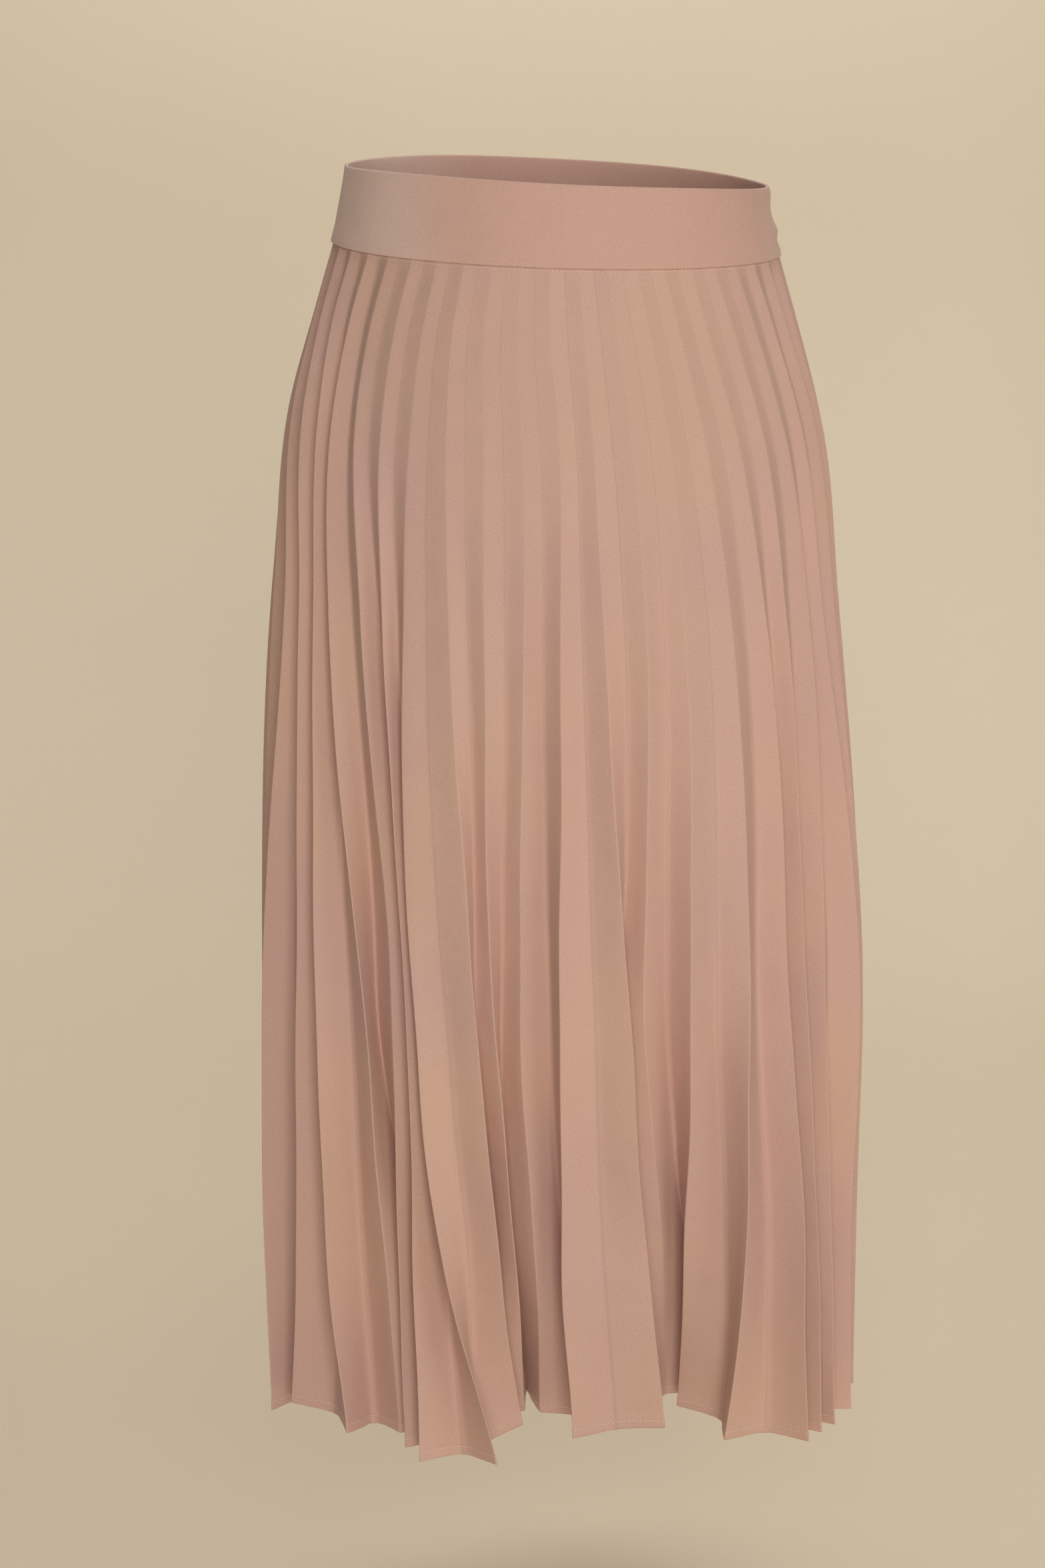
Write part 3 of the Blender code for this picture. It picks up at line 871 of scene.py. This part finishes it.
def stitch_shape():
    """Points and faces of one stitch, along +X, with its face to +Z."""
    bpy.ops.object.select_all(action="DESELECT")
    bpy.ops.mesh.primitive_uv_sphere_add(segments=8, ring_count=6, radius=0.5)
    sample = bpy.context.object
    points = read_points(sample.data)
    faces = [tuple(face.vertices) for face in sample.data.polygons]
    bpy.data.objects.remove(sample, do_unlink=True)
    points = points[:, [2, 0, 1]]
    blunt = np.sign(points[:, 0]) * (np.abs(points[:, 0]) * 2) ** STITCH_BLUNT / 2
    sizes = (STITCH_LENGTH, THREAD, THREAD * THREAD_FLATTENED)
    return np.stack([blunt, points[:, 1], points[:, 2]], axis=1) * sizes, faces


STITCH_POINTS, STITCH_FACES = stitch_shape()
print("one stitch has", len(STITCH_FACES), "faces")

# %% [markdown]
# A sewing machine lays stitches of one length along a line. The line is walked by its true length, and
# each copy is turned to lie along it with its face outwards.

# %% A line of stitches
STITCH_REACH = 0.45
FIRST_STITCH = 0.75


def stitches_along(name, path, outward, pitch, sink):
    """Stitches along a path on the cloth, one each pitch, with the given outward directions."""
    lengths = np.concatenate([[0], np.cumsum(np.linalg.norm(np.diff(path, axis=0), axis=1))])
    count = int((lengths[-1] - pitch) / pitch)
    middles = (np.arange(count) + FIRST_STITCH) * pitch
    reach = STITCH_LENGTH * STITCH_REACH

    def along_path(places, values):
        """Values at these distances along the path."""
        return np.stack([np.interp(places, lengths, values[:, axis]) for axis in range(3)], axis=1)

    at = along_path(middles, path)
    out = unit(along_path(middles, outward))
    along = unit(along_path(middles + reach, path) - along_path(middles - reach, path))
    side = unit(np.cross(out, along))
    up = np.cross(along, side)
    points = (
        at[:, None] + up[:, None] * (THREAD / 2 - sink)
        + STITCH_POINTS[None, :, 0, None] * along[:, None]
        + STITCH_POINTS[None, :, 1, None] * side[:, None]
        + STITCH_POINTS[None, :, 2, None] * up[:, None]
    ).reshape(-1, 3)
    faces = [
        tuple(index + copy * len(STITCH_POINTS) for index in face)
        for copy in range(count)
        for face in STITCH_FACES
    ]
    mesh = bpy.data.meshes.new(name)
    mesh.from_pydata(points.tolist(), [], faces)
    mesh.polygons.foreach_set("use_smooth", [True] * len(faces))
    piece = bpy.data.objects.new(name, mesh)
    bpy.context.collection.objects.link(piece)
    print(name, count, "stitches")
    return piece


print("stitches are", STITCH_LENGTH, "m long")

# %% [markdown]
# The hem is stitched five and a half millimetres above its edge, following every pleat. The waist
# seam is stitched just under the band. Both lines are read from the cloth's own rows, and lifted by
# half of the cloth's thickness so that the thread lies on it.

# %% Sewing
STITCH_PITCH = 0.0028
SEAM_PITCH = 0.0026
SEAM_STITCH_ROW = 3
THREAD_SINK = 0.00006
HEM_HALF_WALL = HEM_THICKNESS * 0.36


def row_outward(line):
    """Outward direction of the cloth at each point of a row, level in height."""
    step = np.gradient(line, axis=0)
    return unit(np.stack([step[:, 1], -step[:, 0], np.zeros(len(line))], axis=1))


def sew_row(name, cloth, row, pitch, half_wall):
    """Stitches along one row of a panel."""
    line = cloth[row]
    outward = row_outward(line)
    return stitches_along(name, line + outward * half_wall, outward, pitch, THREAD_SINK)


HEM_ROW = int(np.argmin(np.abs(DOWNS - (CLOTH_LENGTH - HEM_STITCH))))
sewing = {
    "front_hem_thread": (front_cloth, HEM_ROW, STITCH_PITCH, HEM_HALF_WALL),
    "back_hem_thread": (back_cloth, HEM_ROW, STITCH_PITCH, HEM_HALF_WALL),
    "front_seam_thread": (front_cloth, SEAM_STITCH_ROW, SEAM_PITCH, CREPE / 2),
    "back_seam_thread": (back_cloth, SEAM_STITCH_ROW, SEAM_PITCH, CREPE / 2),
}
threads = {name: sew_row(name, *facts) for name, facts in sewing.items()}

# %% [markdown]
# The materials are built from nodes, so no picture is needed. This helper adds a node, and joins it or
# gives it a value, in one call each.

# %% Node helper


class Nodes:
    """Short way to add and join the nodes of one material."""

    def __init__(self, material):
        material.use_nodes = True
        self.tree = material.node_tree
        self.shader = self.tree.nodes["Principled BSDF"]

    def add(self, kind, **values):
        """New node with its settings."""
        node = self.tree.nodes.new("ShaderNode" + kind)
        for name, value in values.items():
            setattr(node, name, value)
        return node

    def set(self, socket, value):
        """Puts a number or colour in a socket, or joins another node's output to it."""
        if isinstance(value, bpy.types.NodeSocket):
            self.tree.links.new(value, socket)
        else:
            socket.default_value = value

    def math(self, operation, first, second=0.0):
        """Result of one sum."""
        node = self.add("Math", operation=operation)
        self.set(node.inputs[0], first)
        self.set(node.inputs[1], second)
        return node.outputs[0]

    def blend(self, factor, first, second, kind="MIX"):
        """Mixed colour."""
        node = self.add("Mix", data_type="RGBA", blend_type=kind)
        self.set(node.inputs["Factor"], factor)
        self.set(node.inputs["A"], first)
        self.set(node.inputs["B"], second)
        return node.outputs["Result"]

    def ramp(self, value, low, high, to_low=0.0, to_high=1.0):
        """Value carried from one range to another, and kept inside it."""
        node = self.add("MapRange", clamp=True, interpolation_type="SMOOTHSTEP")
        for name, number in (("Value", value), ("From Min", low), ("From Max", high)):
            self.set(node.inputs[name], number)
        self.set(node.inputs["To Min"], to_low)
        self.set(node.inputs["To Max"], to_high)
        return node.outputs["Result"]

    def noise(self, vector, scale, detail=2.0):
        """Soft random value over a place."""
        node = self.add("TexNoise")
        self.set(node.inputs["Vector"], vector)
        node.inputs["Scale"].default_value = scale
        node.inputs["Detail"].default_value = detail
        return node.outputs["Fac"]

    def bump(self, height, strength, distance, normal=None):
        """Bump in metres."""
        node = self.add("Bump")
        node.inputs["Strength"].default_value = strength
        node.inputs["Distance"].default_value = distance
        self.set(node.inputs["Height"], height)
        if normal is not None:
            self.set(node.inputs["Normal"], normal)
        return node.outputs["Normal"]


print("node helper ready")

# %% [markdown]
# The crepe is matt, with a fine twill and a soft sheen. Its colour drifts between a warmer and a
# cooler rose over a hand's breadth. The pressed ridges are painted slightly paler, a painted highlight,
# and the valleys are painted darker, a painted shade. The band is a little pinker, and paler at its
# ends with a painted sheen. The twill is a wave over the flat cut, so it follows the cloth.

# %% Crepe
CREPE_WARM = (0.612, 0.388, 0.296, 1.0)
CREPE_COOL = (0.588, 0.370, 0.310, 1.0)
DRIFT_SCALE = 7.0
BAND_CREPE_COLOUR = (0.605, 0.368, 0.292, 1.0)
BAND_CREPE_SHARE = 0.8
# Painted sheen: the band's colour turns paler and greyer towards its ends.
BAND_END_PAINTED_SHEEN = (0.700, 0.505, 0.425, 1.0)
BAND_SHEEN_ENDS = {"middle": 0.03, "from": 0.08, "to": 0.15}
MOTTLE_SCALE = 900.0
MOTTLE_TONES = (0.94, 1.06)
TWILL_PITCH = 0.00075
TWILL_TONES = (0.97, 1.03)
TWILL_UNEVEN = {"scale": 220.0, "size": 0.0006}
# Painted highlight: the ridges' colour is made slightly paler.
RIDGE_PAINTED_HIGHLIGHT = {"reach": 0.05, "tone": 1.02}
# Painted shade: the valleys' colour is made darker.
VALLEY_PAINTED_SHADE = {"reach": 0.07, "tone": 0.92}
FACE_TONES = (0.98, 1.02)
ROUGHNESS = (0.62, 0.78)
CLOTH_RELIEF = {
    "creases": {"scale": 26.0, "detail": 2.0, "strength": 0.5, "distance": 0.003},
    "slubs": {"scale": 260.0, "detail": 4.0, "strength": 0.35, "distance": 0.0004},
}
WEAVE_RELIEF = {"strength": 0.5, "distance": 0.00009}
CREPE_FINISH = {
    "Sheen Weight": 0.12,
    "Sheen Roughness": 0.45,
    "Sheen Tint": (1.0, 0.90, 0.84, 1.0),
    "Specular IOR Level": 0.28,
}
print("relief", list(CLOTH_RELIEF))

# %% [markdown]
# Both materials share the colour drift, the twill and the relief. The panels then get the tones of
# their pleats, with painted highlights on the ridges and painted shade in the valleys, and the band
# gets its own colour, with a painted sheen towards its ends.

# %% Crepe material


def twill_wave(nodes, flat):
    """Wave from none to one that runs slantwise over the flat cut."""
    split = nodes.add("SeparateXYZ")
    nodes.set(split.inputs[0], flat)
    slant = nodes.math("ADD", split.outputs["X"], split.outputs["Y"])
    uneven = nodes.math("MULTIPLY", nodes.noise(flat, TWILL_UNEVEN["scale"]), TWILL_UNEVEN["size"])
    phase = nodes.math("MULTIPLY", nodes.math("ADD", slant, uneven), 2 * math.pi / TWILL_PITCH)
    wave = nodes.math("MULTIPLY_ADD", nodes.math("SINE", phase), 0.5)
    wave.node.inputs[2].default_value = 0.5
    return wave


def band_colour_and_end_sheen(nodes, colour, place):
    """The band's own colour, with a painted sheen that makes it paler towards its ends."""
    across = nodes.add("SeparateXYZ")
    nodes.set(across.inputs[0], place)
    from_middle = nodes.math("ABSOLUTE", nodes.math("SUBTRACT", across.outputs["X"], BAND_SHEEN_ENDS["middle"]))
    colour = nodes.blend(BAND_CREPE_SHARE, colour, BAND_CREPE_COLOUR)
    # painted sheen: paler towards the band's ends
    return nodes.blend(nodes.ramp(from_middle, BAND_SHEEN_ENDS["from"], BAND_SHEEN_ENDS["to"]), colour, BAND_END_PAINTED_SHEEN)


def pleat_tone(nodes, tone):
    """Tone with a painted highlight on the ridges, painted shade in the valleys and small differences from
    face to face.
    """
    ridge = nodes.add("Attribute", attribute_name="from_ridge").outputs["Fac"]
    face = nodes.add("Attribute", attribute_name="face_tone").outputs["Fac"]
    # painted highlight: paler colour near each ridge
    tone = nodes.math("MULTIPLY", tone, nodes.ramp(ridge, 0.0, RIDGE_PAINTED_HIGHLIGHT["reach"], RIDGE_PAINTED_HIGHLIGHT["tone"], 1.0))
    # painted shade: darker colour near each valley
    tone = nodes.math("MULTIPLY", tone, nodes.ramp(ridge, 1 - VALLEY_PAINTED_SHADE["reach"], 1.0, 1.0, VALLEY_PAINTED_SHADE["tone"]))
    return nodes.math("MULTIPLY", tone, nodes.ramp(face, 0.0, 1.0, *FACE_TONES))


def crepe_material(name, pleated):
    """Fine twill crepe, for the pleated panels or for the band."""
    nodes = Nodes(bpy.data.materials.new(name))
    place = nodes.add("TexCoord").outputs["Object"]
    flat = nodes.add("UVMap", uv_map="flat_cut").outputs["UV"]
    drift = nodes.ramp(nodes.noise(place, DRIFT_SCALE), 0.35, 0.65)
    colour = nodes.blend(drift, CREPE_WARM, CREPE_COOL)
    mottle = nodes.noise(flat, MOTTLE_SCALE, 3.0)
    twill = twill_wave(nodes, flat)
    mottle_tone = nodes.ramp(mottle, 0.3, 0.7, *MOTTLE_TONES)
    tone = nodes.math("MULTIPLY", mottle_tone, nodes.ramp(twill, 0.0, 1.0, *TWILL_TONES))
    if pleated:
        tone = pleat_tone(nodes, tone)
    else:
        colour = band_colour_and_end_sheen(nodes, colour, place)
    scale = nodes.add("VectorMath", operation="SCALE")
    nodes.set(scale.inputs[0], colour)
    nodes.set(scale.inputs["Scale"], tone)
    nodes.set(nodes.shader.inputs["Base Color"], scale.outputs[0])
    nodes.set(nodes.shader.inputs["Roughness"], nodes.ramp(mottle, 0.2, 0.8, *ROUGHNESS))
    normal = None
    for relief in CLOTH_RELIEF.values():
        height = nodes.noise(flat, relief["scale"], relief["detail"])
        normal = nodes.bump(height, relief["strength"], relief["distance"], normal)
    weave = nodes.bump(twill, WEAVE_RELIEF["strength"], WEAVE_RELIEF["distance"], normal)
    nodes.set(nodes.shader.inputs["Normal"], weave)
    for socket, value in CREPE_FINISH.items():
        nodes.set(nodes.shader.inputs[socket], value)
    return bpy.data.materials[name]


pleated_crepe = crepe_material("pleated_crepe", pleated=True)
band_crepe = crepe_material("waistband_crepe", pleated=False)
print("materials", pleated_crepe.name, band_crepe.name)

# %% [markdown]
# Sewing thread is twisted and a little paler than the cloth. Its twist is a fine slanting wave.

# %% Thread
THREAD_DARK = (0.80, 0.60, 0.50, 1.0)
THREAD_PALE = (0.92, 0.74, 0.64, 1.0)
THREAD_TWIST = 0.0004
THREAD_RELIEF = {"strength": 0.5, "distance": 0.00005}
THREAD_FINISH = {"Roughness": 0.45, "Sheen Weight": 0.2}


def thread_material():
    """Pale twisted thread."""
    nodes = Nodes(bpy.data.materials.new("sewing_thread"))
    split = nodes.add("SeparateXYZ")
    nodes.set(split.inputs[0], nodes.add("TexCoord").outputs["Object"])
    spiral = nodes.math("ADD", split.outputs["X"], split.outputs["Z"])
    twist = nodes.math("SINE", nodes.math("MULTIPLY", spiral, 2 * math.pi / THREAD_TWIST))
    colour = nodes.blend(nodes.ramp(twist, -1.0, 1.0), THREAD_DARK, THREAD_PALE)
    nodes.set(nodes.shader.inputs["Base Color"], colour)
    normal = nodes.bump(twist, THREAD_RELIEF["strength"], THREAD_RELIEF["distance"])
    nodes.set(nodes.shader.inputs["Normal"], normal)
    for socket, value in THREAD_FINISH.items():
        nodes.set(nodes.shader.inputs[socket], value)
    return bpy.data.materials["sewing_thread"]


thread = thread_material()
print("material", thread.name)

# %% [markdown]
# Each piece takes its material, rides on the skirt's one body and stands for its solid.


def hand_over(piece, material, node=None):
    """Material, body and the solid that the piece stands for."""
    piece.data.materials.clear()
    piece.data.materials.append(material)
    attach(piece, "root")
    if node:
        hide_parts(node)


hand_over(front_panel, pleated_crepe, "skirt_front")
hand_over(back_panel, pleated_crepe, "skirt_back")
hand_over(front_band, band_crepe, "waistband_front")
hand_over(back_band, band_crepe, "waistband_back")
for sewn in threads.values():
    hand_over(sewn, thread)
